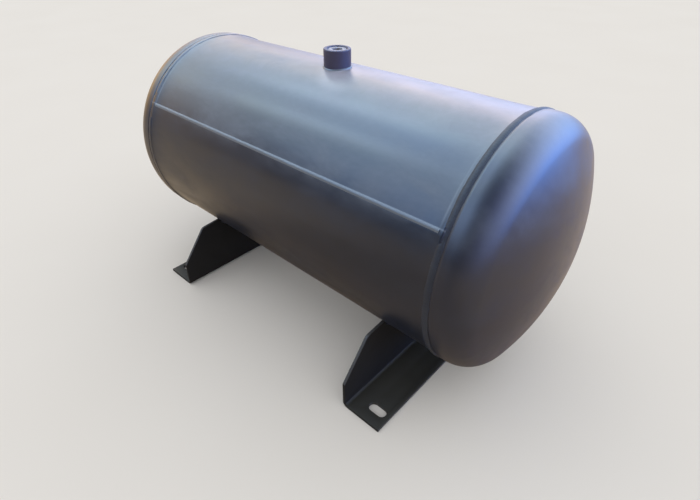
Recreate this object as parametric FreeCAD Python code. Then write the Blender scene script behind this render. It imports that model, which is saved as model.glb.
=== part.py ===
"""Horizontal compressed-air reservoir: welded steel shell, two dished heads, two bent-plate feet.

Units are millimetres. +Z is up, the tank axis runs along X and z = 0 is the underside of the feet.
The origin is on the floor, midway between the feet and under the tank axis.
"""
import FreeCAD
import Part
import math
import os

V = FreeCAD.Vector

# ---------------------------------------------------------------- driving dimensions
SHELL_OD = 300.0            # outside diameter of the rolled shell
SHELL_T = 4.0               # shell plate thickness
HEAD_T = 6.0                # dished head thickness, same bore as the shell
JOINT_X = 260.0             # middle of each girth joint, measured from the centre
ROOT_GAP = 2.0              # width of every butt-weld root
UNDER_SHELL = 50.0          # clear height under the shell

SKIRT_L = 11.0              # straight part of a head, from the middle of the joint
KNUCKLE_R = 37.5            # outside radius of the head's knuckle
CROWN_R = 312.5             # outside radius of the head's crown

GIRTH_CAP_W = 10.0          # width of a girth weld's cap
GIRTH_CAP_H = 1.2           # height of that cap over the head's skirt
SEAM_ANGLE = 29.3           # seam's place on the front, in degrees over the horizontal
SEAM_CAP_W = 7.0            # width of the seam weld's cap
SEAM_CAP_H = 1.6            # height of the seam weld's cap

BOSS_OD = 35.0              # outside diameter of a port boss
TOP_BOSS_H = 22.5           # height of the top boss over the shell
DRAIN_BOSS_H = 21.0         # height of the drain boss under the shell
BOSS_BORE = 24.5            # tapping bore of a 3/4 inch pipe thread
BOSS_CHAMFER = 1.2          # outer edge of a boss
MOUTH_CHAMFER = 1.0         # lead-in of the thread
BOSS_WELD_LEG = 3.0         # fillet weld round a boss
TOP_BOSS_X = 0.0            # both ports are midway between the heads
DRAIN_BOSS_X = 0.0

PLUG_L = 15.0               # length of the plug's body
PLUG_SINK = 1.2             # plug's top face below the boss's rim
PLUG_HEX = 12.0             # socket, across flats
PLUG_HEX_DEPTH = 8.0
PLUG_EDGE = 0.8             # chamfer of the plug

FOOT_T = 4.0                # foot plate thickness
FOOT_FACE_X = 178.0         # outer face of a foot's web, from the centre
FLANGE_TIP_X = 231.5        # outer edge of a foot's flange
FOOT_L = 364.0              # length of a foot across the tank
BEND_R = 4.0                # inside radius of the bend
WEB_WRAP = 44.0             # web meets the shell this far below the horizontal, in degrees
WEB_END_Z = 41.0            # top of the web's upright ends
WEB_SHOULDER_IN = 42.0      # shoulder of the sloped edge, in from the foot's end
WEB_SHOULDER_DROP = 3.0     # shoulder below the point where the web meets the shell
WEB_CORNER_R = 8.0          # rounding of the shoulder

SLOT_X = 213.0              # slot centres, along the tank
SLOT_Y = 160.0              # slot centres, across the tank
SLOT_W = 13.0               # clears an M12 bolt
SLOT_L = 25.0

FOOT_WELD_LEG = 4.0         # fillets between a web and the shell
FOOT_WELD_SHORT = 2.0       # weld stops short of the web's edge, in degrees

# ---------------------------------------------------------------- derived sizes
SHELL_R = SHELL_OD / 2.0
AXIS_Z = UNDER_SHELL + SHELL_R
BORE_R = SHELL_R - SHELL_T
HEAD_R = BORE_R + HEAD_T
SHELL_HALF = JOINT_X - ROOT_GAP / 2.0
HEAD_START = JOINT_X + ROOT_GAP / 2.0
SKIRT_END = JOINT_X + SKIRT_L
WEB_TOP_Z = AXIS_Z - SHELL_R * math.sin(math.radians(WEB_WRAP))
WEB_SHOULDER_Z = WEB_TOP_Z - WEB_SHOULDER_DROP
WEB_SHOULDER_Y = FOOT_L / 2.0 - WEB_SHOULDER_IN


def solid_of(shape, name):
    """Returns the one solid in a boolean's result."""
    solids = shape.Solids
    if len(solids) != 1:
        raise ValueError("%s came out as %d solids" % (name, len(solids)))
    return solids[0]


def rod(radius, x0, x1):
    """A cylinder on the tank axis, from x0 to x1."""
    return Part.makeCylinder(radius, x1 - x0, V(x0, 0, AXIS_Z), V(1, 0, 0))


def spun(edges):
    """Revolves a closed profile, drawn as (x, radius), about the tank axis."""
    face = Part.Face(Part.Wire(edges))
    return face.revolve(V(0, 0, AXIS_Z), V(1, 0, 0), 360)


def at(x, radius):
    """Profile point over the tank axis."""
    return V(x, 0, AXIS_Z + radius)


def mirrored(shape):
    """The same piece at the other end of the tank."""
    return shape.mirror(V(0, 0, 0), V(1, 0, 0))


# ---------------------------------------------------------------- dished heads
def head_points(knuckle, crown, radius):
    """Points of one side of a head's wall: skirt end, knuckle, tangent, crown, apex."""
    centre_r = HEAD_R - KNUCKLE_R
    link = CROWN_R - KNUCKLE_R
    crown_x = SKIRT_END - math.sqrt(link ** 2 - centre_r ** 2)
    tangent = math.atan2(centre_r, SKIRT_END - crown_x)
    mid_knuckle = (tangent + math.pi / 2.0) / 2.0
    half = tangent / 2.0
    return {
        "start": at(SKIRT_END, radius),
        "knuckle": at(SKIRT_END + knuckle * math.cos(mid_knuckle),
                      centre_r + knuckle * math.sin(mid_knuckle)),
        "tangent": at(crown_x + crown * math.cos(tangent), crown * math.sin(tangent)),
        "crown": at(crown_x + crown * math.cos(half), crown * math.sin(half)),
        "apex": at(crown_x + crown, 0),
    }


def make_head():
    """One dished head, at the +X end."""
    outer = head_points(KNUCKLE_R, CROWN_R, HEAD_R)
    inner = head_points(KNUCKLE_R - HEAD_T, CROWN_R - HEAD_T, BORE_R)
    edges = [
        Part.makeLine(at(HEAD_START, BORE_R), at(HEAD_START, HEAD_R)),
        Part.makeLine(at(HEAD_START, HEAD_R), outer["start"]),
        Part.Arc(outer["start"], outer["knuckle"], outer["tangent"]).toShape(),
        Part.Arc(outer["tangent"], outer["crown"], outer["apex"]).toShape(),
        Part.makeLine(outer["apex"], inner["apex"]),
        Part.Arc(inner["apex"], inner["crown"], inner["tangent"]).toShape(),
        Part.Arc(inner["tangent"], inner["knuckle"], inner["start"]).toShape(),
        Part.makeLine(inner["start"], at(HEAD_START, BORE_R)),
    ]
    return solid_of(spun(edges), "head")


# ---------------------------------------------------------------- shell and its welds
def seam_box(width, inner, outer, half_length):
    """A bar along the seam, from one radius to another."""
    bar = Part.makeBox(2 * half_length, width, outer - inner,
                       V(-half_length, -width / 2.0, AXIS_Z + inner))
    bar.rotate(V(0, 0, AXIS_Z), V(1, 0, 0), 90.0 - SEAM_ANGLE)
    return bar


def port_hole(x, up):
    """The hole that a port takes through the shell."""
    return Part.makeCylinder(BOSS_BORE / 2.0, SHELL_R + TOP_BOSS_H + 10.0,
                             V(x, 0, AXIS_Z), V(0, 0, 1 if up else -1))


def make_shell():
    """Rolled plate with its open seam and the two port holes."""
    tube = rod(SHELL_R, -SHELL_HALF, SHELL_HALF)
    tube = tube.cut(rod(BORE_R, -SHELL_HALF - 1, SHELL_HALF + 1))
    tube = tube.cut(seam_box(ROOT_GAP, BORE_R - 5, SHELL_R + 5, SHELL_HALF + 1))
    tube = tube.cut(port_hole(TOP_BOSS_X, True))
    tube = tube.cut(port_hole(DRAIN_BOSS_X, False))
    return solid_of(tube, "shell")


def make_girth_weld(shell, head):
    """Root through the plate and a domed cap over the joint."""
    left = JOINT_X - GIRTH_CAP_W / 2.0
    right = JOINT_X + GIRTH_CAP_W / 2.0
    low = BORE_R + 2.0
    cap = spun([
        Part.makeLine(at(left, low), at(left, SHELL_R)),
        Part.Arc(at(left, SHELL_R), at(JOINT_X, HEAD_R + GIRTH_CAP_H), at(right, HEAD_R)).toShape(),
        Part.makeLine(at(right, HEAD_R), at(right, low)),
        Part.makeLine(at(right, low), at(left, low)),
    ])
    cap = cap.cut(shell).cut(head)
    cap = cap.cut(rod(SHELL_R, left - 1, SHELL_HALF))
    root = rod(HEAD_R, SHELL_HALF, HEAD_START).cut(rod(BORE_R, SHELL_HALF - 1, HEAD_START + 1))
    return solid_of(cap.fuse(root).removeSplitter(), "girth weld")


def make_seam_weld(shell, girths):
    """Root in the shell's seam and a low cap outside it."""
    root = seam_box(ROOT_GAP, BORE_R, SHELL_R + 0.2, SHELL_HALF)
    root = root.cut(rod(BORE_R, -SHELL_HALF - 1, SHELL_HALF + 1))
    half = SEAM_CAP_W / 2.0
    x0 = -JOINT_X
    foot = AXIS_Z + math.sqrt(SHELL_R ** 2 - half ** 2)
    start = V(x0, -half, foot)
    end = V(x0, half, foot)
    crest = V(x0, 0, AXIS_Z + SHELL_R + SEAM_CAP_H)
    deep_start = V(x0, -half, foot - 2)
    deep_end = V(x0, half, foot - 2)
    wire = Part.Wire([
        Part.Arc(start, crest, end).toShape(),
        Part.makeLine(end, deep_end),
        Part.makeLine(deep_end, deep_start),
        Part.makeLine(deep_start, start),
    ])
    cap = Part.Face(wire).extrude(V(2 * JOINT_X, 0, 0))
    cap.rotate(V(0, 0, AXIS_Z), V(1, 0, 0), 90.0 - SEAM_ANGLE)
    cap = cap.cut(rod(SHELL_R, -JOINT_X - 1, JOINT_X + 1))
    seam = cap.fuse(root)
    for girth in girths:
        seam = seam.cut(girth)
    seam = seam.cut(shell)
    biggest = max(seam.Solids, key=lambda s: s.Volume)
    return biggest


# ---------------------------------------------------------------- ports
def make_boss(x, height):
    """A threaded boss set on the top of the shell."""
    top = AXIS_Z + SHELL_R + height
    r = BOSS_OD / 2.0
    bore = BOSS_BORE / 2.0
    base = AXIS_Z + SHELL_R - 6.0
    pts = [
        V(bore, 0, base),
        V(r, 0, base),
        V(r, 0, top - BOSS_CHAMFER),
        V(r - BOSS_CHAMFER, 0, top),
        V(bore + MOUTH_CHAMFER, 0, top),
        V(bore, 0, top - MOUTH_CHAMFER),
        V(bore, 0, base),
    ]
    boss = Part.Face(Part.makePolygon(pts)).revolve(V(0, 0, 0), V(0, 0, 1), 360)
    boss.translate(V(x, 0, 0))
    boss = boss.cut(rod(SHELL_R, -100, 100))
    return solid_of(boss, "boss")


def make_boss_weld(x):
    """Fillet all round a boss, lying on the curved shell."""
    r = BOSS_OD / 2.0
    leg = BOSS_WELD_LEG
    z = AXIS_Z + SHELL_R - 1.2
    pts = [
        V(r, 0, z + leg),
        V(r + leg, 0, z),
        V(r + leg, 0, z - 4.0),
        V(r, 0, z - 4.0),
        V(r, 0, z + leg),
    ]
    weld = Part.Face(Part.makePolygon(pts)).revolve(V(0, 0, 0), V(0, 0, 1), 360)
    weld.translate(V(x, 0, 0))
    weld = weld.cut(rod(SHELL_R, -100, 100))
    return solid_of(weld, "boss weld")


def to_bottom(shape, x):
    """Turns a top port into one at the bottom of the shell."""
    turned = shape.copy()
    turned.rotate(V(x, 0, AXIS_Z), V(1, 0, 0), 180)
    return turned


def make_plug(x):
    """Screwed plug with a hexagon socket, a little below the boss's rim."""
    top = AXIS_Z + SHELL_R + TOP_BOSS_H - PLUG_SINK
    r = BOSS_BORE / 2.0
    body = Part.makeCylinder(r, PLUG_L, V(x, 0, top - PLUG_L))
    corner = PLUG_HEX / math.sqrt(3.0)
    ring = []
    for i in range(7):
        a = math.radians(60.0 * i)
        ring.append(V(x + corner * math.cos(a), corner * math.sin(a), top - PLUG_HEX_DEPTH))
    socket = Part.Face(Part.makePolygon(ring)).extrude(V(0, 0, PLUG_HEX_DEPTH + 1))
    body = body.cut(socket)
    rim = []
    for edge in body.Edges:
        box = edge.BoundBox
        flat = box.ZMax - box.ZMin < 1e-6 and abs(box.ZMax - top) < 1e-6
        if flat and box.XMax - box.XMin > PLUG_HEX * 1.5:
            rim.append(edge)
    body = body.makeChamfer(PLUG_EDGE, rim)
    return solid_of(body, "plug")


# ---------------------------------------------------------------- feet
def foot_section():
    """The bent plate's section in XZ, extruded across the tank."""
    face_x = FOOT_FACE_X
    back_x = FOOT_FACE_X - FOOT_T
    outer_r = BEND_R + FOOT_T
    cx = face_x + BEND_R
    cz = FOOT_T + BEND_R
    s = math.sin(math.radians(45.0))
    y = -FOOT_L / 2.0
    top = AXIS_Z
    edges = [
        Part.makeLine(V(back_x, y, top), V(back_x, y, cz)),
        Part.Arc(V(back_x, y, cz), V(cx - outer_r * s, y, cz - outer_r * s),
                 V(cx, y, 0)).toShape(),
        Part.makeLine(V(cx, y, 0), V(FLANGE_TIP_X, y, 0)),
        Part.makeLine(V(FLANGE_TIP_X, y, 0), V(FLANGE_TIP_X, y, FOOT_T)),
        Part.makeLine(V(FLANGE_TIP_X, y, FOOT_T), V(cx, y, FOOT_T)),
        Part.Arc(V(cx, y, FOOT_T), V(cx - BEND_R * s, y, cz - BEND_R * s),
                 V(face_x, y, cz)).toShape(),
        Part.makeLine(V(face_x, y, cz), V(face_x, y, top)),
        Part.makeLine(V(face_x, y, top), V(back_x, y, top)),
    ]
    return Part.Face(Part.Wire(edges)).extrude(V(0, FOOT_L, 0))


def web_outline():
    """The foot seen along the tank: upright ends, sloped shoulders, level upper edges."""
    y = FOOT_L / 2.0
    x0 = FOOT_FACE_X - FOOT_T - 1.0
    inner_y = SHELL_R * math.cos(math.radians(WEB_WRAP)) - 1.0
    pts = [
        V(x0, -y, -1.0),
        V(x0, y, -1.0),
        V(x0, y, WEB_END_Z),
        V(x0, WEB_SHOULDER_Y, WEB_SHOULDER_Z),
        V(x0, inner_y, WEB_TOP_Z),
        V(x0, -inner_y, WEB_TOP_Z),
        V(x0, -WEB_SHOULDER_Y, WEB_SHOULDER_Z),
        V(x0, -y, WEB_END_Z),
        V(x0, -y, -1.0),
    ]
    block = Part.Face(Part.makePolygon(pts)).extrude(V(FLANGE_TIP_X - x0 + 1.0, 0, 0))
    edges = []
    for edge in block.Edges:
        box = edge.BoundBox
        runs_x = box.XMax - box.XMin > 10.0
        shoulder = abs(abs(box.YMax) - WEB_SHOULDER_Y) < 0.1 or abs(abs(box.YMin) - WEB_SHOULDER_Y) < 0.1
        if runs_x and shoulder:
            edges.append(edge)
    return block.makeFillet(WEB_CORNER_R, edges)


def foot_slot(y):
    """One bolt slot through the flange, its length along the tank."""
    r = SLOT_W / 2.0
    reach = SLOT_L / 2.0 - r
    cut = Part.makeBox(2 * reach, SLOT_W, 3 * FOOT_T, V(SLOT_X - reach, y - r, -FOOT_T))
    for side in (-1, 1):
        end = Part.makeCylinder(r, 3 * FOOT_T, V(SLOT_X + side * reach, y, -FOOT_T))
        cut = cut.fuse(end)
    return cut


def make_foot():
    """Bent plate that cradles the shell, at the +X end."""
    foot = foot_section().common(web_outline())
    foot = foot.cut(rod(SHELL_R, 0, 300))
    foot = foot.cut(foot_slot(-SLOT_Y))
    foot = foot.cut(foot_slot(SLOT_Y))
    return solid_of(foot, "foot")


def make_foot_weld(face_x, direction):
    """Fillet in the corner between a web's face and the shell, under the tank."""
    leg = FOOT_WELD_LEG
    pts = [
        at(face_x, SHELL_R),
        at(face_x + direction * leg, SHELL_R),
        at(face_x, SHELL_R + leg),
        at(face_x, SHELL_R),
    ]
    sweep = 180.0 - 2.0 * (WEB_WRAP + FOOT_WELD_SHORT)
    face = Part.Face(Part.makePolygon(pts))
    face.rotate(V(0, 0, AXIS_Z), V(1, 0, 0), 180.0 - sweep / 2.0)
    return solid_of(face.revolve(V(0, 0, AXIS_Z), V(1, 0, 0), sweep), "foot weld")


# ---------------------------------------------------------------- all pieces
def build():
    shell = make_shell()
    right_head = make_head()
    right_girth = make_girth_weld(shell, right_head)
    left_girth = mirrored(right_girth)
    boss = make_boss(TOP_BOSS_X, TOP_BOSS_H)
    boss_weld = make_boss_weld(TOP_BOSS_X)
    foot = make_foot()
    outer_weld = make_foot_weld(FOOT_FACE_X, 1)
    inner_weld = make_foot_weld(FOOT_FACE_X - FOOT_T, -1)
    return {
        "shell_plate": shell,
        "seam_weld": make_seam_weld(shell, [right_girth, left_girth]),
        "right_head": right_head,
        "left_head": mirrored(right_head),
        "right_girth_weld": right_girth,
        "left_girth_weld": left_girth,
        "top_port_boss": boss,
        "top_port_weld": boss_weld,
        "top_port_plug": make_plug(TOP_BOSS_X),
        "drain_boss": to_bottom(make_boss(DRAIN_BOSS_X, DRAIN_BOSS_H), DRAIN_BOSS_X),
        "drain_boss_weld": to_bottom(make_boss_weld(DRAIN_BOSS_X), DRAIN_BOSS_X),
        "right_foot": foot,
        "left_foot": mirrored(foot),
        "right_foot_outer_weld": outer_weld,
        "right_foot_inner_weld": inner_weld,
        "left_foot_outer_weld": mirrored(outer_weld),
        "left_foot_inner_weld": mirrored(inner_weld),
    }


os.makedirs("parts", exist_ok=True)
for name, shape in build().items():
    if not shape.isValid():
        raise ValueError("%s is not a valid solid" % name)
    shape.exportStep("parts/" + name + ".step")
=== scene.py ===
"""Looks of a horizontal compressed-air reservoir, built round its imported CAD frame.

Everything is in metres in the CAD frame: the tank axis runs along X at a height of 0.2,
and the feet stand on z = 0. Sections follow the order in which the vessel is welded up.
"""

import math

import bmesh
import bpy
import numpy as np
from mathutils import Matrix, Vector


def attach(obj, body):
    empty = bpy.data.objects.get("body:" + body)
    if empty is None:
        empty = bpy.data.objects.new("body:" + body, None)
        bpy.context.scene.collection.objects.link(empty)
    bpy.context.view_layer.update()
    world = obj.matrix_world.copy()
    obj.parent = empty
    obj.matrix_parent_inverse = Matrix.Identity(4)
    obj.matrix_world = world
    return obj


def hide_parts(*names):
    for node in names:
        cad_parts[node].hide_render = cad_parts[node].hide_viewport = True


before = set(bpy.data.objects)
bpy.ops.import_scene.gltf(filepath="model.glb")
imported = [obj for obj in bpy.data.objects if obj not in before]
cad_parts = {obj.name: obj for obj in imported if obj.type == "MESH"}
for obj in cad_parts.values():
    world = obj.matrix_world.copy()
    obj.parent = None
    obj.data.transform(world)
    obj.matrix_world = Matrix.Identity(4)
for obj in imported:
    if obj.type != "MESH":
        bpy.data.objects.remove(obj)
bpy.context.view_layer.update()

# ------------------------------------------------------------------ rolled shell
# One steel plate rolled into a tube and welded along its length, then painted a satin blue-black.
# Rolling leaves it very slightly out of round, with a low ridge where its two edges were drawn
# together and a slight flare into each girth weld.

AXIS_HEIGHT = 0.200
SHELL_RADIUS = 0.150
SHELL_BORE_RADIUS = 0.146
SHELL_HALF_LENGTH = 0.259
SEAM_ANGLE = math.radians(180.0 - 29.3)     # from +Y, turning up over the tank
PORT_BORE_RADIUS = 0.01225
TOP_PORT_X, LOWER_PORT_X = 0.0, 0.0


class Signal:
    """One output socket. Arithmetic on it adds Math nodes."""

    def __init__(self, board, socket):
        self.board = board
        self.socket = socket

    def _math(self, operation, first, second=None):
        sockets = {0: first} if second is None else {0: first, 1: second}
        return self.board.add("ShaderNodeMath", {"operation": operation}, sockets)[0]

    def __add__(self, other):
        return self._math("ADD", self, other)

    def __radd__(self, other):
        return self._math("ADD", other, self)

    def __sub__(self, other):
        return self._math("SUBTRACT", self, other)

    def __rsub__(self, other):
        return self._math("SUBTRACT", other, self)

    def __mul__(self, other):
        return self._math("MULTIPLY", self, other)

    def __rmul__(self, other):
        return self._math("MULTIPLY", other, self)

    def __truediv__(self, other):
        return self._math("DIVIDE", self, other)

    def __pow__(self, other):
        return self._math("POWER", self, other)

    def __abs__(self):
        return self._math("ABSOLUTE", self)

    def least(self, other):
        return self._math("MINIMUM", self, other)

    def most(self, other):
        return self._math("MAXIMUM", self, other)

    def fraction(self):
        return self._math("FRACT", self)

    def exponent(self):
        return self._math("EXPONENT", self)

    def angle_over(self, other):
        """The angle whose tangent is this over the other."""
        return self._math("ARCTAN2", self, other)

    def clipped(self, lowest=0.0):
        """Held between the lowest value and 1."""
        return self.most(lowest).least(1.0)

    def bump_at(self, middle, width):
        """A soft bump from 0 to 1, centred on a value."""
        off = (self - middle) / width
        return (off * off * -1.0).exponent()


class Board:
    """A node tree, and the one way to put a node on it."""

    def __init__(self, tree):
        self.tree = tree

    def add(self, kind, settings=None, sockets=None):
        node = self.tree.nodes.new(kind)
        for name, value in (settings or {}).items():
            if name == "stops":
                ramp = node.color_ramp.elements
                while len(ramp) < len(value):
                    ramp.new(0.5)
                for element, (place, level) in zip(ramp, value):
                    element.position = place
                    element.color = (level, level, level, 1.0)
            else:
                setattr(node, name, value)
        for key, value in (sockets or {}).items():
            if isinstance(value, Signal):
                self.tree.links.new(value.socket, node.inputs[key])
            else:
                node.inputs[key].default_value = value
        return [Signal(self, socket) for socket in node.outputs]

    def noise(self, place, scale, detail=2.0, roughness=0.5, distortion=0.0):
        """Soft noise from 0 to 1."""
        return self.add("ShaderNodeTexNoise", {"noise_dimensions": "3D"},
                        {"Vector": place, "Scale": scale, "Detail": detail,
                         "Roughness": roughness, "Distortion": distortion})[0]

    def blend(self, amount, first, second):
        """Mixes two colours, which are a Mix node's inputs 6 and 7 and its output 2."""
        return self.add("ShaderNodeMix", {"data_type": "RGBA"},
                        {0: amount, 6: first, 7: second})[2]

    def vector(self, operation, sockets, output=0):
        """Arithmetic on vectors. A dot product comes out of output 1."""
        return self.add("ShaderNodeVectorMath", {"operation": operation}, sockets)[output]


def empty_board(owner):
    """The board of a material or a world whose own nodes are cleared away."""
    owner.use_nodes = True
    owner.node_tree.nodes.clear()
    return Board(owner.node_tree)


WIPE_STRETCH = (0.65, 1.5, 1.5)         # smears run along the tank
FILM_FROM, FILM_RISE = 0.262, 0.014     # the height where the smears and painted sheen begin, and over how much
FILM_BELOW = 0.08                       # the trace of them that is left below it
SMEAR_AND_SHEEN_COLOUR = (0.20, 0.23, 0.27, 1.0)
TOP_SHEEN_FROM, TOP_SHEEN_FULL = 0.318, 0.350     # heights between which settled dust and painted sheen thicken
TOP_DUST_AND_SHEEN_COLOUR = (0.55, 0.54, 0.62, 1.0)

FRONT_EDGE = -40.0                      # how sharply the painted highlight over the seam ends at the tank's top line
SEAM_TOE = (0.0036, 0.0009)             # middle and width of a painted highlight line, over the seam
GIRTH_TOE = (0.2520, 0.0011)            # the same along the tank, inside each girth weld
GIRTH_TOE_SHARE = 0.7
GIRTH_TOE_TOP, GIRTH_TOE_FADE = 0.345, 0.06
GIRTH_TOE_FOOT, GIRTH_TOE_RISE = 0.275, 0.012
LOWER_REFLECTION, LOWER_REFLECTION_SHARE = (0.890, 0.050), 0.50     # angle up from the front, and width, of a painted reflection streak
UPPER_REFLECTION, UPPER_REFLECTION_SHARE = (1.130, 0.070), 0.80
REFLECTIONS_ALONG = (0.050, 0.150)            # their middle and reach along the tank
PAINTED_HIGHLIGHT_COLOUR = (0.24, 0.28, 0.33, 1.0)
DIAGONAL = 0.707                        # the painted sheen by the top boss lies along x = -y
PATCH_START, PATCH_LENGTH, PATCH_HALF_WIDTH = 0.024, 0.046, 0.026
PATCH_SPREAD = 0.62
SHEEN_PATCH_COLOUR = (0.46, 0.47, 0.56, 1.0)


def paint_highlights(board, colour, where, smear, mottle, painted_highlights):
    """Painted highlights along the toes of the shell's welds, two painted reflection streaks, and a
    painted sheen by the top boss.
    """
    x, y, height = where
    above = y * math.sin(SEAM_ANGLE) - (height - AXIS_HEIGHT) * math.cos(SEAM_ANGLE)
    front = (y * FRONT_EDGE).clipped()
    higher = ((height - FILM_FROM) / FILM_RISE).clipped()
    fading = ((GIRTH_TOE_TOP - height) / GIRTH_TOE_FADE).least(1.0)
    fading = fading.least((height - GIRTH_TOE_FOOT) / GIRTH_TOE_RISE).most(0.0)
    toes = above.bump_at(*SEAM_TOE) * front + abs(x).bump_at(*GIRTH_TOE) * fading * GIRTH_TOE_SHARE
    # Two pale bands along the front are painted reflections.
    over = (height - AXIS_HEIGHT).angle_over(y * -1.0)
    lower, upper = over.bump_at(*LOWER_REFLECTION), over.bump_at(*UPPER_REFLECTION)
    reflection_streaks = lower * LOWER_REFLECTION_SHARE + upper * UPPER_REFLECTION_SHARE
    reflection_streaks = reflection_streaks * x.bump_at(*REFLECTIONS_ALONG) * higher
    streaks = toes.most(reflection_streaks).least(1.0) * (0.1 + smear) * painted_highlights
    colour = board.blend(streaks, colour, PAINTED_HIGHLIGHT_COLOUR)
    # A pale patch in front of the top boss is painted sheen.
    forth = ((x - y) * DIAGONAL - PATCH_START) / PATCH_LENGTH
    aside = (x + y) * DIAGONAL / PATCH_HALF_WIDTH
    patch = (1.0 - (forth * forth + aside * aside) * PATCH_SPREAD).clipped() * higher
    patch = patch * patch * (0.25 + smear + mottle * 0.4) * painted_highlights
    return board.blend(patch, colour, SHEEN_PATCH_COLOUR)


def enamel(name, deep, pale, gloss, smears_and_sheen=0.0, top_dust_and_sheen=0.0, painted_highlights=0.0, sway=0.00012,
           peel=0.000012, shine=0.5, offset=0.0):
    """Sprayed satin enamel: cloudy colour, smears of dust and painted sheen, uneven gloss, plate
    sway, orange peel.

    Settled dust with a painted sheen lies on top of the vessel, and painted highlights and
    reflections are what the shell alone has."""
    material = bpy.data.materials.new(name)
    board = empty_board(material)
    spot = board.add("ShaderNodeTexCoord")[3]       # object coordinates
    place = board.add("ShaderNodeMapping", None,
                      {"Vector": spot, "Location": (offset, offset * 0.7, 0.0)})[0]
    cloud = board.noise(place, 9.0, 3.0, 0.55, 0.4)
    mottle = board.noise(place, 42.0, 4.0, 0.6, 0.6)
    wiped = board.add("ShaderNodeMapping", None, {"Vector": place, "Scale": WIPE_STRETCH})[0]
    smear = board.noise(wiped, 15.0, 4.0, 0.60, 0.2)
    dust = board.add("ShaderNodeValToRGB", {"stops": [(0.43, 0.0), (0.76, 1.0)]}, {0: smear})[0]
    tone = (cloud * 0.75 + mottle * 0.45 - 0.10).clipped()
    colour = board.blend(tone, deep + (1.0,), pale + (1.0,))
    where = board.add("ShaderNodeSeparateXYZ", None, {0: spot})
    height = where[2]
    # Pale smears, part dust and part painted sheen, start just under the seam so the upper side
    # reads lighter.
    dust_film_and_sheen = ((height - FILM_FROM) / FILM_RISE).clipped(FILM_BELOW)
    dust_film_and_sheen = dust * (0.35 + 0.65 * mottle) * dust_film_and_sheen * smears_and_sheen
    colour = board.blend(dust_film_and_sheen, colour, SMEAR_AND_SHEEN_COLOUR)
    # Paler on top: settled dust, and a painted sheen for the light from overhead.
    if top_dust_and_sheen > 0.0:
        upper = ((height - TOP_SHEEN_FROM) / (TOP_SHEEN_FULL - TOP_SHEEN_FROM)).clipped()
        upper = upper * upper * (0.7 + 0.6 * (mottle - 0.5)) * top_dust_and_sheen
        colour = board.blend(upper, colour, TOP_DUST_AND_SHEEN_COLOUR)
    # Painted highlights and reflections, which the shell alone has.
    if painted_highlights > 0.0:
        colour = paint_highlights(board, colour, where, smear, mottle, painted_highlights)
    low, high = gloss
    grain = board.noise(place, 420.0, 2.0, 0.5)
    roughness = low + (high - low) * (cloud * 0.55 + mottle * 0.45) + dust * (smears_and_sheen * 0.35 + 0.02)
    swell = board.noise(place, 11.0, 1.0, 0.4)
    bumps = board.add("ShaderNodeBump", None,
                      {"Height": swell, "Distance": sway, "Strength": 1.0})[0]
    skin = board.noise(place, 900.0, 1.0, 0.5)
    bumps = board.add("ShaderNodeBump", None,
                      {"Height": skin * 0.8 + grain * 0.6, "Distance": peel, "Strength": 1.0,
                       "Normal": bumps})[0]
    surface = board.add("ShaderNodeBsdfPrincipled", None,
                        {"Base Color": colour, "Roughness": roughness, "Normal": bumps,
                         "Specular IOR Level": shine})[0]
    board.add("ShaderNodeOutputMaterial", None, {"Surface": surface})
    return material


def new_object(name, data):
    """An object in the scene for a mesh or a camera."""
    made = bpy.data.objects.new(name, data)
    bpy.context.scene.collection.objects.link(made)
    return made


def make_object(name, vertices, faces, material):
    """A mesh object at the origin, shaded smooth, with its faces turned outwards."""
    mesh = bpy.data.meshes.new(name)
    mesh.from_pydata([tuple(v) for v in vertices], [], faces)
    mesh.update()
    shape = bmesh.new()
    shape.from_mesh(mesh)
    bmesh.ops.remove_doubles(shape, verts=shape.verts, dist=1e-7)
    bmesh.ops.recalc_face_normals(shape, faces=shape.faces)
    shape.to_mesh(mesh)
    shape.free()
    for polygon in mesh.polygons:
        polygon.use_smooth = True
    mesh.materials.append(material)
    return new_object(name, mesh)


def spun_grid(profile, count, place):
    """Turns a closed profile of pairs into a closed surface.

    'place' says where a pair comes to lie at an angle."""
    vertices = []
    for step in range(count):
        angle = 2.0 * math.pi * step / count
        vertices += [place(a, b, angle) for a, b in profile]
    rows = len(profile)
    faces = []
    for step in range(count):
        here, there = step * rows, (step + 1) % count * rows
        for row in range(rows):
            up = (row + 1) % rows
            faces.append((here + row, here + up, there + up, there + row))
    return vertices, faces


def settle(piece):
    """Applies a piece's modifiers, so that it is a plain mesh."""
    graph = bpy.context.evaluated_depsgraph_get()
    mesh = bpy.data.meshes.new_from_object(piece.evaluated_get(graph))
    piece.modifiers.clear()
    old = piece.data
    piece.data = mesh
    bpy.data.meshes.remove(old)
    return piece


RIDGE_RISE, RIDGE_FADE = 0.0015, 0.015      # at the seam, and how fast it fades round the shell
FLARE_RISE, FLARE_FADE = 0.0019, 0.009      # at each end, and how fast it fades along the shell
OVAL_DEPTH, LOBES_DEPTH, WAVE_DEPTH, FLATS_DEPTH = 0.00018, 0.00012, 0.00008, 0.00013


def plate_sway(x, angle):
    """How far rolling and welding have moved the shell's skin, in metres."""
    around = (angle - SEAM_ANGLE + math.pi) % (2.0 * math.pi) - math.pi
    ridge = RIDGE_RISE * math.exp(-abs(around) * SHELL_RADIUS / RIDGE_FADE)
    flare = FLARE_RISE * math.exp(-(SHELL_HALF_LENGTH - abs(x)) / FLARE_FADE)
    oval = (OVAL_DEPTH * math.cos(2.0 * angle + 0.6)
            + LOBES_DEPTH * math.sin(5.0 * angle + 9.0 * x))
    long_wave = WAVE_DEPTH * math.sin(31.0 * x + 1.3) * math.cos(3.0 * angle)
    free = 1.0 - (x / SHELL_HALF_LENGTH) ** 2
    flats = FLATS_DEPTH * free * math.sin(28.0 * (around + 0.379) + 2.5 * x)
    return ridge + flare + oval + long_wave + flats


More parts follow.
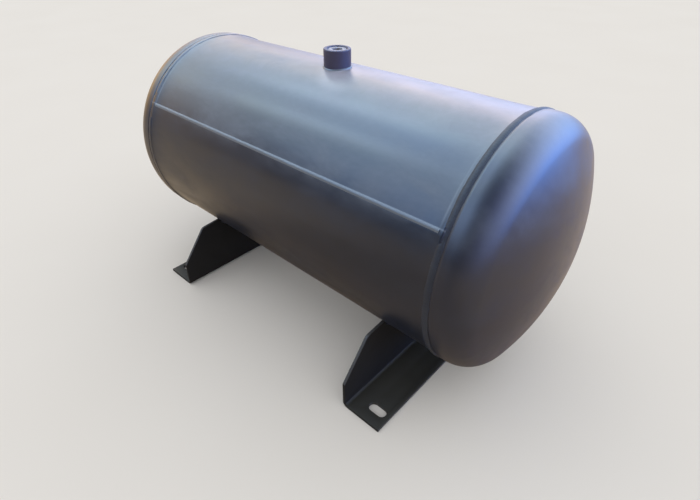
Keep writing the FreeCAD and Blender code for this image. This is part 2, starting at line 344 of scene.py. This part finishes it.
def on_tank(x, radius, angle):
    """A point round the tank axis; the angle runs from +Y up over the top."""
    return (x, radius * math.cos(angle), AXIS_HEIGHT + radius * math.sin(angle))


def shell_point(x, radius, angle):
    """A point of the shell, moved by the plate's sway."""
    return on_tank(x, radius + plate_sway(x, angle), angle)


def shell_profile():
    """Along the outside of the plate, and back along its inside in wider steps."""
    along = np.linspace(-SHELL_HALF_LENGTH, SHELL_HALF_LENGTH, 134)
    outside = [(x, SHELL_RADIUS) for x in along]
    inside = [(x, SHELL_BORE_RADIUS) for x in along[::-6]]
    return outside + inside


def drill(piece, x, low, high, radius):
    """Cuts a round upright hole through a piece."""
    shape = bmesh.new()
    bmesh.ops.create_cone(shape, cap_ends=True, segments=96, radius1=radius, radius2=radius,
                          depth=high - low)
    bmesh.ops.translate(shape, verts=shape.verts, vec=(x, 0.0, (low + high) / 2.0))
    mesh = bpy.data.meshes.new("drill")
    shape.to_mesh(mesh)
    shape.free()
    cutter = new_object("drill", mesh)
    cut = piece.modifiers.new("hole", "BOOLEAN")
    cut.operation = "DIFFERENCE"
    cut.solver = "MANIFOLD"
    cut.object = cutter
    settle(piece)
    bpy.data.objects.remove(cutter)
    bpy.data.meshes.remove(mesh)


shell_enamel = enamel("shell enamel", (0.006, 0.008, 0.014), (0.014, 0.018, 0.030), (0.27, 0.39),
                      smears_and_sheen=0.45, top_dust_and_sheen=0.40, painted_highlights=0.7)
shell = make_object("shell", *spun_grid(shell_profile(), 384, shell_point), shell_enamel)
drill(shell, TOP_PORT_X, low=0.30, high=0.40, radius=PORT_BORE_RADIUS)
drill(shell, LOWER_PORT_X, low=0.0, high=0.10, radius=PORT_BORE_RADIUS)
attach(shell, "root")
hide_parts("shell_plate")

# ------------------------------------------------------------------ dished heads
# Each end is a steel disc pressed into a shallow dish with a rounded shoulder and a short
# straight skirt, a little thicker than the shell, so it stands 2 mm proud of it.

HEAD_THICKNESS = 0.006
HEAD_RADIUS = SHELL_BORE_RADIUS + HEAD_THICKNESS
HEAD_EDGE_X = 0.261
SKIRT_END_X = 0.271
KNUCKLE_RADIUS = 0.0375
CROWN_RADIUS = 0.3125
DENT_DEPTH = 0.00010


def head_wall(inset):
    """The head's profile from skirt to axis, moved inwards by a wall thickness."""
    knuckle = KNUCKLE_RADIUS - inset
    crown = CROWN_RADIUS - inset
    shoulder = HEAD_RADIUS - KNUCKLE_RADIUS
    crown_x = SKIRT_END_X - math.sqrt((CROWN_RADIUS - KNUCKLE_RADIUS) ** 2 - shoulder ** 2)
    tangent = math.atan2(shoulder, SKIRT_END_X - crown_x)
    skirt = HEAD_RADIUS - inset
    wall = [(HEAD_EDGE_X, skirt), ((HEAD_EDGE_X + SKIRT_END_X) / 2, skirt)]
    for turn in np.linspace(math.pi / 2.0, tangent, 28):
        wall.append((SKIRT_END_X + knuckle * math.cos(turn), shoulder + knuckle * math.sin(turn)))
    for turn in np.linspace(tangent, 0.0, 48)[1:]:
        wall.append((crown_x + crown * math.cos(turn), max(crown * math.sin(turn), 0.0)))
    return wall


def make_head(name, side):
    """Side is 1 for the right end and -1 for the left."""
    outer = head_wall(0.0)
    inner = head_wall(HEAD_THICKNESS)[::-1]

    def place(x, radius, angle):
        dent = (DENT_DEPTH * math.sin(3.0 * angle + 2.0 * side)
                * min(radius / 0.1, 1.0) * (x - HEAD_EDGE_X) / 0.06)
        return on_tank(side * (x + dent), radius, angle)

    return make_object(name, *spun_grid(outer + inner, 288, place), head_enamel)


head_enamel = enamel("head enamel", (0.009, 0.010, 0.017), (0.021, 0.024, 0.037), (0.28, 0.40),
                     smears_and_sheen=0.22, top_dust_and_sheen=0.28, offset=3.1)
for name, side in (("right_dish", 1), ("left_dish", -1)):
    head = make_head(name, side)
    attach(head, "root")
    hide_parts(name.replace("dish", "head"))

# ------------------------------------------------------------------ weld beads
# The seam along the shell, the two girth joints, the fillets round the ports and those under the
# webs are all the same thing: molten steel laid along a path in overlapping scallops, then painted.
# Each bead is swept along its own path by one Geometry Nodes tree.

BEAD_SIZES = (("Width", 0.008), ("Height", 0.002), ("Sink", 0.001), ("Scallop Pitch", 0.0022),
              ("Scallop Depth", 0.0002), ("Wander", 0.06), ("Step", 0.0005), ("Seed", 1.0),
              ("Peak", 2.0))


def bead_tree():
    """Path in, scalloped bead out. The path's own 'crown' vectors say which way a bead stands."""
    tree = bpy.data.node_groups.new("weld bead", "GeometryNodeTree")
    face = tree.interface
    face.new_socket("Path", in_out="INPUT", socket_type="NodeSocketGeometry")
    for name, value in BEAD_SIZES:
        socket = face.new_socket(name, in_out="INPUT", socket_type="NodeSocketFloat")
        socket.default_value = value
    face.new_socket("Paint", in_out="INPUT", socket_type="NodeSocketMaterial")
    face.new_socket("Bead", in_out="OUTPUT", socket_type="NodeSocketGeometry")
    board = Board(tree)

    def store(geometry, name, value):
        return board.add("GeometryNodeStoreNamedAttribute",
                         {"data_type": "FLOAT", "domain": "POINT"},
                         {"Geometry": geometry, "Name": name, "Value": value})[0]

    def stored(name, data_type="FLOAT"):
        return board.add("GeometryNodeInputNamedAttribute", {"data_type": data_type},
                         {"Name": name})[0]

    inputs = board.add("NodeGroupInput")
    path, width, height, sink, pitch, depth, wander, step, seed, peak, paint = inputs[:11]

    line = board.add("GeometryNodeMeshToCurve", None, {0: path})[0]
    line = board.add("GeometryNodeResampleCurve", {"mode": "LENGTH"},
                     {"Curve": line, "Length": step})[0]
    line = board.add("GeometryNodeSetCurveNormal", {"mode": "FREE"},
                     {"Curve": line, "Normal": stored("crown", "FLOAT_VECTOR")})[0]
    line = store(line, "along", board.add("GeometryNodeSplineParameter")[1])    # its length

    ring = board.add("GeometryNodeCurvePrimitiveCircle", {"mode": "RADIUS"},
                     {"Resolution": 26, "Radius": 1.0})[0]
    spot = board.add("GeometryNodeInputPosition")[0]
    across, lift, _ = board.add("ShaderNodeSeparateXYZ", None, {0: spot})
    ring = store(ring, "across", across)
    ring = store(ring, "lift", lift.most(0.0))
    upward = lift.most(0.0) ** peak * height + lift.least(0.0) * sink
    shaped = board.add("ShaderNodeCombineXYZ", None, {0: upward, 1: across * width * 0.5})[0]
    ring = board.add("GeometryNodeSetPosition", None, {"Geometry": ring, "Position": shaped})[0]
    bead = board.add("GeometryNodeCurveToMesh", None,
                     {"Curve": line, "Profile Curve": ring, "Fill Caps": True})[0]

    where, beside, above = stored("along"), stored("across"), stored("lift")
    drift = board.add("ShaderNodeTexNoise", {"noise_dimensions": "1D"},
                      {"W": where * 60.0 + seed, "Scale": 1.0, "Detail": 2.0})[0] - 0.5
    phase = (where / pitch + drift * 1.6 - beside * beside * 0.9).fraction() * 2.0 - 1.0
    scallop = 1.0 - phase * phase
    outward = board.add("GeometryNodeInputNormal")[0]
    rise = (scallop - 0.6) * depth * above.least(0.5) * 2.0 + drift * wander * width * 0.5
    shift = board.vector("SCALE", {0: outward, "Scale": rise})
    bead = board.add("GeometryNodeSetPosition", None, {"Geometry": bead, "Offset": shift})[0]
    bead = board.add("GeometryNodeSetShadeSmooth", None, {"Geometry": bead})[0]
    bead = board.add("GeometryNodeRealizeInstances", None, {"Geometry": bead})[0]
    bead = board.add("GeometryNodeSetMaterial", None, {"Geometry": bead, "Material": paint})[0]
    board.add("NodeGroupOutput", None, {0: bead})
    return tree


def lay_bead(name, points, crowns, closed, paint, sizes):
    """Runs the bead tree along a path and returns the finished mesh object."""
    count = len(points)
    edges = [(i, i + 1) for i in range(count - 1)] + ([(count - 1, 0)] if closed else [])
    mesh = bpy.data.meshes.new(name)
    mesh.from_pydata([tuple(p) for p in points], edges, [])
    crown = mesh.attributes.new("crown", "FLOAT_VECTOR", "POINT")
    crown.data.foreach_set("vector", np.asarray(crowns, dtype=float).ravel())
    piece = new_object(name, mesh)
    modifier = piece.modifiers.new("bead", "NODES")
    modifier.node_group = beads
    for item in beads.interface.items_tree:
        if item.item_type == "SOCKET" and item.in_out == "INPUT":
            if item.name == "Paint":
                modifier[item.identifier] = paint
            elif item.name in sizes:
                modifier[item.identifier] = float(sizes[item.name])
    settle(piece)
    for polygon in piece.data.polygons:
        polygon.use_smooth = True
    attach(piece, "root")
    return piece


beads = bead_tree()
weld_enamel = enamel("weld enamel", (0.011, 0.013, 0.020), (0.028, 0.033, 0.046), (0.30, 0.44),
                     sway=0.0, peel=0.00002, offset=7.7)
# The seam's pale enamel is a painted highlight along its crown.
highlight_enamel = enamel("seam enamel with painted highlight", (0.075, 0.092, 0.118), (0.145, 0.172, 0.205),
                     (0.34, 0.48), sway=0.0, peel=0.00002, offset=2.7)
girth_enamel = enamel("matt girth enamel", (0.004, 0.005, 0.008), (0.042, 0.048, 0.062),
                      (0.46, 0.62), smears_and_sheen=0.04, sway=0.0, peel=0.00003, shine=0.30, offset=6.1)

CROWN_ANGLE = math.radians(180.0 - 29.9)    # the bead's crown sits a little over the joint
SEAM_BEAD_END_X = 0.2525
SEAM_BEAD_DEPTH = 0.0002                    # how far its path lies under the plate's skin
seam_x = np.linspace(-SEAM_BEAD_END_X, SEAM_BEAD_END_X, 60)
seam_points = [on_tank(x, SHELL_RADIUS + plate_sway(x, CROWN_ANGLE) - SEAM_BEAD_DEPTH, CROWN_ANGLE)
               for x in seam_x]
seam_crown = [(0.0, math.cos(CROWN_ANGLE), math.sin(CROWN_ANGLE))] * len(seam_x)
seam_bead = lay_bead("seam_bead", seam_points, seam_crown, False, highlight_enamel,
                     {"Width": 0.0052, "Height": 0.0009, "Sink": 0.0012, "Scallop Depth": 0.00016,
                      "Scallop Pitch": 0.0024, "Step": 0.0005, "Seed": 3.0})
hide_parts("seam_weld")

GIRTH_X, GIRTH_RADIUS, GIRTH_LEAN = 0.2594, 0.15150, 0.02
for name, side, rise, paint in (("right_girth", 1, 0.0015, girth_enamel),
                                ("left_girth", -1, 0.0008, shell_enamel)):
    turns = np.linspace(0.0, 2.0 * math.pi, 361)[:-1]
    ring = [on_tank(side * GIRTH_X, GIRTH_RADIUS, turn) for turn in turns]
    crowns = [(side * GIRTH_LEAN, math.cos(turn), math.sin(turn)) for turn in turns]
    girth = lay_bead(name + "_bead", ring, crowns, True, paint,
                     {"Width": 0.0084, "Height": rise, "Sink": 0.0020, "Peak": 1.6,
                      "Scallop Depth": 0.00014, "Scallop Pitch": 0.0030, "Wander": 0.15,
                      "Step": 0.0006, "Seed": 11.0 + side})
    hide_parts(name + "_weld")

# ------------------------------------------------------------------ port bosses
# Two turned steel sockets for a 3/4 inch pipe thread, set on the shell at the top and at the
# lowest point and welded all round. The top one is plugged; the lower one is open for the drain.

BOSS_RADIUS = 0.0175
TOP_BOSS_HEIGHT, LOWER_BOSS_HEIGHT = 0.0225, 0.021
RIM_ROUNDING = 0.0012
FACE_OUTER, FACE_INNER, MOUTH_RADIUS = 0.0158, 0.0139, 0.01345
THREAD_PITCH = 0.001814
THREAD_CREST = 0.01206
THREAD_ROOT = 0.01315
FOOT_ZONE, FOOT_ZONE_DEPTH = 0.002, 0.0035      # the last rows of the wall, bent to the shell
FILLET_OUT = 0.0006                             # the fillet's path, off the wall and the shell


def smooth_by_angle(piece, limit):
    """Keeps real corners crisp and shades the rest smooth."""
    mesh = piece.data
    for polygon in mesh.polygons:
        polygon.use_smooth = True
    shape = bmesh.new()
    shape.from_mesh(mesh)
    for edge in shape.edges:
        if len(edge.link_faces) == 2:
            edge.smooth = edge.calc_face_angle(0.0) < limit
    shape.to_mesh(mesh)
    shape.free()
    return piece


def boss_profile(deep):
    """Round the boss's wall: up the outside, over the rim, and down the threaded bore.

    Heights are measured down from the rim, and 'deep' is where the wall meets the shell."""
    wall = [(BOSS_RADIUS, depth) for depth in np.linspace(deep, 0.0022, 8)]
    for turn in np.linspace(0.0, math.pi / 2.0, 7):
        wall.append((BOSS_RADIUS - RIM_ROUNDING + RIM_ROUNDING * math.cos(turn),
                     RIM_ROUNDING - RIM_ROUNDING * math.sin(turn)))
    wall += [(radius, 0.0) for radius in np.linspace(FACE_OUTER, FACE_INNER, 5)]
    wall.append((MOUTH_RADIUS, 0.00012))
    wall += [(MOUTH_RADIUS - step, 0.00045 + step) for step in np.linspace(0.0, 0.0009, 4)]
    wall += [(THREAD_CREST, depth) for depth in np.arange(0.0018, deep, THREAD_PITCH / 10.0)]
    return wall


def make_boss(name, upward, middle, height):
    """Revolves the boss and cuts its thread; its foot follows the round shell."""
    profile = boss_profile(height + 0.0015)

    def place(radius, depth, angle):
        if radius <= THREAD_CREST + 1e-9:
            turn = (depth / THREAD_PITCH - upward * angle / (2.0 * math.pi)) % 1.0
            flank = min(abs(turn - 0.5) * 2.0 * 1.25, 1.0)
            fade = min(max((depth - 0.0016) / 0.0012, 0.0), 1.0)
            radius = THREAD_ROOT + (THREAD_CREST - THREAD_ROOT) * (1.0 - fade * (1.0 - flank))
        x, y = radius * math.cos(angle), radius * math.sin(angle)
        start = height - FOOT_ZONE
        if depth > start:
            seat = height + SHELL_RADIUS - math.sqrt(SHELL_RADIUS ** 2 - y * y) + 0.0001
            depth = start + (depth - start) / FOOT_ZONE_DEPTH * (seat - start)
        return (middle + x, y, AXIS_HEIGHT + upward * (SHELL_RADIUS + height - depth))

    return make_object(name, *spun_grid(profile, 144, place), boss_enamel)


boss_enamel = enamel("boss enamel", (0.030, 0.027, 0.052), (0.054, 0.048, 0.088), (0.44, 0.60),
                     smears_and_sheen=0.12, shine=0.40, sway=0.00001, peel=0.00001, offset=5.3)
for name, node, upward, middle, height in (
        ("top_boss", "top_port_boss", 1, TOP_PORT_X, TOP_BOSS_HEIGHT),
        ("lower_boss", "drain_boss", -1, LOWER_PORT_X, LOWER_BOSS_HEIGHT)):
    boss = smooth_by_angle(make_boss(name, upward, middle, height), 0.9)
    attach(boss, "root")
    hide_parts(node)

    reach = BOSS_RADIUS + FILLET_OUT
    circle, crowns = [], []
    for turn in np.linspace(0.0, 2.0 * math.pi, 181)[:-1]:
        x, y = reach * math.cos(turn), reach * math.sin(turn)
        lift = math.sqrt(SHELL_RADIUS ** 2 - y * y) + FILLET_OUT
        circle.append((middle + x, y, AXIS_HEIGHT + upward * lift))
        crowns.append(Vector((math.cos(turn), math.sin(turn), upward * 0.95)).normalized())
    # The fillet takes the same pale enamel, a painted highlight round the foot of the boss.
    fillet = lay_bead(name + "_fillet", circle, crowns, True, highlight_enamel,
                      {"Width": 0.0032, "Height": 0.0005, "Sink": 0.0012,
                       "Scallop Depth": 0.00012, "Scallop Pitch": 0.0021, "Step": 0.0004,
                       "Seed": 21.0 + upward})
    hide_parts(node.replace("_boss", "_weld") if upward > 0 else node + "_weld")

# ------------------------------------------------------------------ port plug
# A screwed steel plug with a hexagon socket closes the top port a little below its rim.
# It was painted over in place and is duller than its boss; its pale colour is a painted sheen for
# the light on its top, which also lightens the shaded walls of its socket.

PLUG_RADIUS = 0.01195
PLUG_TOP = AXIS_HEIGHT + SHELL_RADIUS + TOP_BOSS_HEIGHT - 0.0012
SOCKET_ACROSS_FLATS = 0.012
SOCKET_DEPTH = 0.008
SOCKET_TURN = 0.3                       # where the last pull of the key left it
PLUG_STEPS = 120


def hexagon_radius(angle):
    """Distance from the middle to a side of the socket at an angle."""
    turn = (angle + math.pi / 6.0) % (math.pi / 3.0) - math.pi / 6.0
    return SOCKET_ACROSS_FLATS / 2.0 / math.cos(turn)


def plug_profile():
    """Rows of (hexagonal, size, depth). Size is a radius, or a hexagonal row's scale."""
    rows = [(False, PLUG_RADIUS, 0.015), (False, PLUG_RADIUS, 0.0018)]
    rows += [(False, PLUG_RADIUS - 0.0008 * t, 0.0010 - 0.0010 * t) for t in (0.0, 0.35, 0.7, 1.0)]
    rows += [(False, radius, 0.0) for radius in (0.0104, 0.0094)]
    rows += [(True, 1.075, 0.0), (True, 1.03, 0.00012), (True, 1.0, 0.0005), (True, 1.0, 0.0040),
             (True, 1.0, SOCKET_DEPTH)]
    rows += [(False, 0.0048, SOCKET_DEPTH + 0.0008), (False, 0.0, SOCKET_DEPTH + 0.0022)]
    return rows


def make_plug():
    """The plug's vertices and faces, closed underneath by one flat face."""
    vertices, faces = [], []
    rows = plug_profile()
    for step in range(PLUG_STEPS):
        angle = 2.0 * math.pi * step / PLUG_STEPS
        for hexagonal, size, depth in rows:
            radius = size * hexagon_radius(angle + SOCKET_TURN) if hexagonal else size
            vertices.append((TOP_PORT_X + radius * math.cos(angle), radius * math.sin(angle),
                             PLUG_TOP - depth))
    for step in range(PLUG_STEPS):
        here, there = step * len(rows), (step + 1) % PLUG_STEPS * len(rows)
        for row in range(len(rows) - 1):
            faces.append((here + row, here + row + 1, there + row + 1, there + row))
    faces.append([step * len(rows) for step in range(PLUG_STEPS)])
    return vertices, faces


plug_sheen_enamel = enamel("plug enamel with painted sheen", (0.15, 0.15, 0.18), (0.28, 0.28, 0.33), (0.45, 0.62),
                     smears_and_sheen=0.2, sway=0.0, peel=0.00002, offset=1.9)
plug = smooth_by_angle(make_object("screwed_plug", *make_plug(), plug_sheen_enamel), 0.5)
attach(plug, "root")
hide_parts("top_port_plug")

# ------------------------------------------------------------------ feet
# Each foot is one 4 mm plate, sheared and folded: an upright web cut to cradle the shell, and a
# flange turned outwards, slotted near both ends for M12 bolts. It is near-black, with thinner paint
# and a painted highlight on the sheared edges, and dust with painted light on the faces that look
# up.

EDGE_ROUNDING = 0.0005
WEB_FOOT_Z = 0.0085                     # faces above this belong to the web
BEND_END_X = 0.1822                     # faces below it and inside this belong to the fold
WEB_FACE_X, WEB_BACK_X = 0.178, 0.174
FILLET_OFF = 0.0013                     # the fillet's path, off the web and the shell
FILLET_END = 46.2                       # degrees below the axis at which the fillets end


def rounded_copy(node, name, material):
    """The CAD plate's own shape, with its flat faces made whole and its edges broken."""
    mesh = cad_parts[node].data.copy()
    mesh.name = name
    shape = bmesh.new()
    shape.from_mesh(mesh)
    bmesh.ops.remove_doubles(shape, verts=shape.verts, dist=2e-6)
    bmesh.ops.dissolve_limit(shape, angle_limit=0.02, verts=shape.verts, edges=shape.edges)
    shape.to_mesh(mesh)
    shape.free()
    mesh.materials.clear()
    mesh.materials.append(material)
    piece = new_object(name, mesh)
    bevel = piece.modifiers.new("rounding", "BEVEL")
    bevel.width = EDGE_ROUNDING
    bevel.segments = 2
    bevel.limit_method = "ANGLE"
    bevel.angle_limit = 0.5
    bevel.harden_normals = False
    settle(piece)
    return smooth_by_angle(piece, 0.7)


def mark_faces(piece, sheared, dust_and_light):
    """Gives the sheared faces thinner paint with a painted highlight, and the faces that look up
    dust with painted light.
    """
    piece.data.materials.append(sheared)
    piece.data.materials.append(dust_and_light)
    for polygon in piece.data.polygons:
        upright = polygon.center.z > WEB_FOOT_Z
        facing = polygon.normal.x if upright else polygon.normal.z
        bend = not upright and abs(polygon.center.x) < BEND_END_X
        if abs(facing) < 0.25 and not bend:
            polygon.material_index = 1
        elif polygon.normal.z > 0.35:
            polygon.material_index = 2


foot_enamel = enamel("foot enamel", (0.012, 0.011, 0.011), (0.023, 0.022, 0.021), (0.42, 0.58),
                     smears_and_sheen=0.04, sway=0.00005, peel=0.00002, shine=0.06, offset=9.1)
# Paler copies of the foot's paint: dust with painted light on faces that look up, thinner paint
# with a painted highlight on the sheared edges.
dust_and_light_enamel = enamel("foot enamel with dust and painted light", (0.024, 0.023, 0.020), (0.048, 0.046, 0.039),
                      (0.50, 0.66), smears_and_sheen=0.06, sway=0.00005, peel=0.00002, shine=0.10,
                      offset=8.3)
sheared_edge_highlight_enamel = enamel("sheared edge enamel with painted highlight", (0.035, 0.034, 0.034), (0.065, 0.062, 0.060),
                        (0.45, 0.60), smears_and_sheen=0.10, sway=0.0, peel=0.00003, shine=0.25, offset=4.4)
for name, side in (("right", 1), ("left", -1)):
    foot = rounded_copy(name + "_foot", name + "_cradle", foot_enamel)
    mark_faces(foot, sheared_edge_highlight_enamel, dust_and_light_enamel)
    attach(foot, "root")
    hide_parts(name + "_foot")
    for face, face_x, out in (("outer", WEB_FACE_X, 1), ("inner", WEB_BACK_X, -1)):
        turns = np.radians(np.linspace(180.0 + FILLET_END, 360.0 - FILLET_END, 90))
        arc = [on_tank(side * (face_x + out * FILLET_OFF), SHELL_RADIUS + FILLET_OFF, turn)
               for turn in turns]
        crowns = [Vector((side * out, math.cos(turn), math.sin(turn))).normalized()
                  for turn in turns]
        fillet = lay_bead(name + "_" + face + "_fillet", arc, crowns, False, weld_enamel,
                          {"Width": 0.0056, "Height": 0.0009, "Sink": 0.0015,
                           "Scallop Depth": 0.00018, "Scallop Pitch": 0.0023, "Step": 0.0005,
                           "Seed": 31.0 + side + 4 * out})
        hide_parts(name + "_foot_" + face + "_weld")

# ------------------------------------------------------------------ floor, light and camera
# A plain pale floor under even light. Broad soft lights and three long ones over the tank show
# only in reflections: daylight high to the left, a blue sky low behind the right end, and little
# in front, so the seam marks the edge between light and dark. The floor reflects warmly.

FLOOR_HALF = 12.0
FLOOR_LEVEL = -0.0003                   # a hair below the feet, so that no two faces coincide
IN_REFLECTION = 3                       # the Light Path node's "Is Glossy Ray"

floor_paint = bpy.data.materials.new("pale floor")
board = empty_board(floor_paint)
place = board.add("ShaderNodeTexCoord")[3]          # object coordinates
cloud = board.noise(place, 3.0, 2.0)
colour = board.blend(cloud, (0.80, 0.765, 0.72, 1.0), (0.83, 0.80, 0.76, 1.0))
x, y, _ = board.add("ShaderNodeSeparateXYZ", None, {0: place})
behind, leftward, rightward = (y + 0.05) / 0.35, (x + 0.22) / -0.15, (x - 0.42) / 0.25
sunlit = behind.most(leftward).most(rightward).clipped()
warm = board.blend(sunlit, (0.50, 0.38, 0.26, 1.0), (0.95, 0.74, 0.50, 1.0))
colour = board.blend(board.add("ShaderNodeLightPath")[IN_REFLECTION], colour, warm)
surface = board.add("ShaderNodeBsdfPrincipled", None,
                    {"Base Color": colour, "Roughness": 0.9, "Specular IOR Level": 0.0})[0]
board.add("ShaderNodeOutputMaterial", None, {"Surface": surface})
floor_mesh = bpy.data.meshes.new("floor")
floor_mesh.from_pydata([(a * FLOOR_HALF, b * FLOOR_HALF, FLOOR_LEVEL)
                        for a, b in ((-1, -1), (1, -1), (1, 1), (-1, 1))], [], [(0, 1, 2, 3)])
floor_mesh.materials.append(floor_paint)
floor = new_object("floor", floor_mesh)

EVEN_LIGHT = (0.98, 0.99, 1.0, 1.0)
SOFT_LIGHTS = (                     # azimuth, elevation, tightness, colour
    (155, 57, 11.2, (4.44, 6.54, 7.61)),
    (-150, 45, 14, (1.98, 2.94, 3.96)),
    (-170, 62, 25, (0.00, 0.00, 2.13)),
    (60, 35, 5, (3.26, 4.74, 7.47)),
    (38, 5, 7, (0.00, 1.61, 8.24)),
    (118, 13, 19.6, (2.49, 2.48, 3.41)),
    (-118, 35, 30, (2.74, 4.26, 7.62)),
    (-15, 20, 7, (1.59, 1.98, 3.80)),
    (-175, 9, 14, (2.50, 1.45, 0.40)),
    (20, 30, 10, (2.48, 2.57, 3.13)),
)
STRIP_LIGHTS = (                    # angle over the front, half width, lean along the tank, colour
    (71, 6, -0.55, (2.97, 3.55, 3.22)),
    (120, 6, -0.55, (0.95, 0.20, 0.00)),
    (150, 6, -0.55, (4.47, 3.00, 1.95)),
)
STRIP_REACH = 0.35                  # along the tank
HORIZON_EDGE = 4.0                  # how sharply a strip ends where it turns away

world = bpy.data.worlds.new("studio")
board = empty_board(world)
ray = board.add("ShaderNodeTexCoord")[0]            # the direction looked in


def facing(aim):
    """How nearly a ray points along a direction, from -1 to 1."""
    return board.vector("DOT_PRODUCT", {0: ray, 1: aim}, 1)


def with_light(glow, colour, strength):
    """The glow so far and one more light."""
    return board.vector("ADD", {0: board.vector("SCALE", {0: colour, "Scale": strength}), 1: glow})


glow = (0.0, 0.0, 0.0)
for azimuth, elevation, tightness, colour in SOFT_LIGHTS:
    a, e = math.radians(azimuth), math.radians(elevation)
    aim = (math.cos(a) * math.cos(e), math.sin(a) * math.cos(e), math.sin(e))
    glow = with_light(glow, colour, ((facing(aim) - 1.0) * tightness).exponent())
for turn, half, lean, colour in STRIP_LIGHTS:
    t = math.radians(turn)
    off = facing((0.0, math.sin(t), math.cos(t))) / math.radians(half)
    toward = facing((0.0, -math.cos(t), math.sin(t))).most(0.0)
    along = (facing((1.0, 0.0, 0.0)) - lean) / STRIP_REACH
    fall = (0.0 - off * off - along * along).exponent() * (toward * HORIZON_EDGE).least(1.0)
    glow = with_light(glow, colour, fall)
tint = board.blend(board.add("ShaderNodeLightPath")[IN_REFLECTION], EVEN_LIGHT, glow)
background = board.add("ShaderNodeBackground", None, {"Color": tint, "Strength": 1.0})[0]
board.add("ShaderNodeOutputWorld", None, {"Surface": background})
bpy.context.scene.world = world
world.cycles.sampling_method = "NONE"

CAMERA_PLACE = (0.4372, -0.4499, 0.5177)
CAMERA_YAW, CAMERA_PITCH, CAMERA_ROLL = 0.74010, 0.61264, 0.00285
SENSOR_WIDTH = 36.0
lens = bpy.data.cameras.new("camera")
lens.sensor_width = SENSOR_WIDTH
lens.lens = SENSOR_WIDTH * 476.755 / 700.0
lens.shift_x = -0.00464
lens.shift_y = -0.01280
lens.clip_start, lens.clip_end = 0.01, 60.0
forward = Vector((-math.sin(CAMERA_YAW) * math.cos(CAMERA_PITCH),
                  math.cos(CAMERA_YAW) * math.cos(CAMERA_PITCH), -math.sin(CAMERA_PITCH)))
level = Vector((math.cos(CAMERA_YAW), math.sin(CAMERA_YAW), 0.0))
down = forward.cross(level)
across = math.cos(CAMERA_ROLL) * level + math.sin(CAMERA_ROLL) * down
down = -math.sin(CAMERA_ROLL) * level + math.cos(CAMERA_ROLL) * down
camera = new_object("camera", lens)
camera.location = CAMERA_PLACE
camera.rotation_mode = "QUATERNION"
camera.rotation_quaternion = Matrix([[across[i], -down[i], -forward[i]]
                                     for i in range(3)]).to_quaternion()
bpy.context.scene.camera = camera
bpy.context.scene.view_settings.view_transform = "Standard"
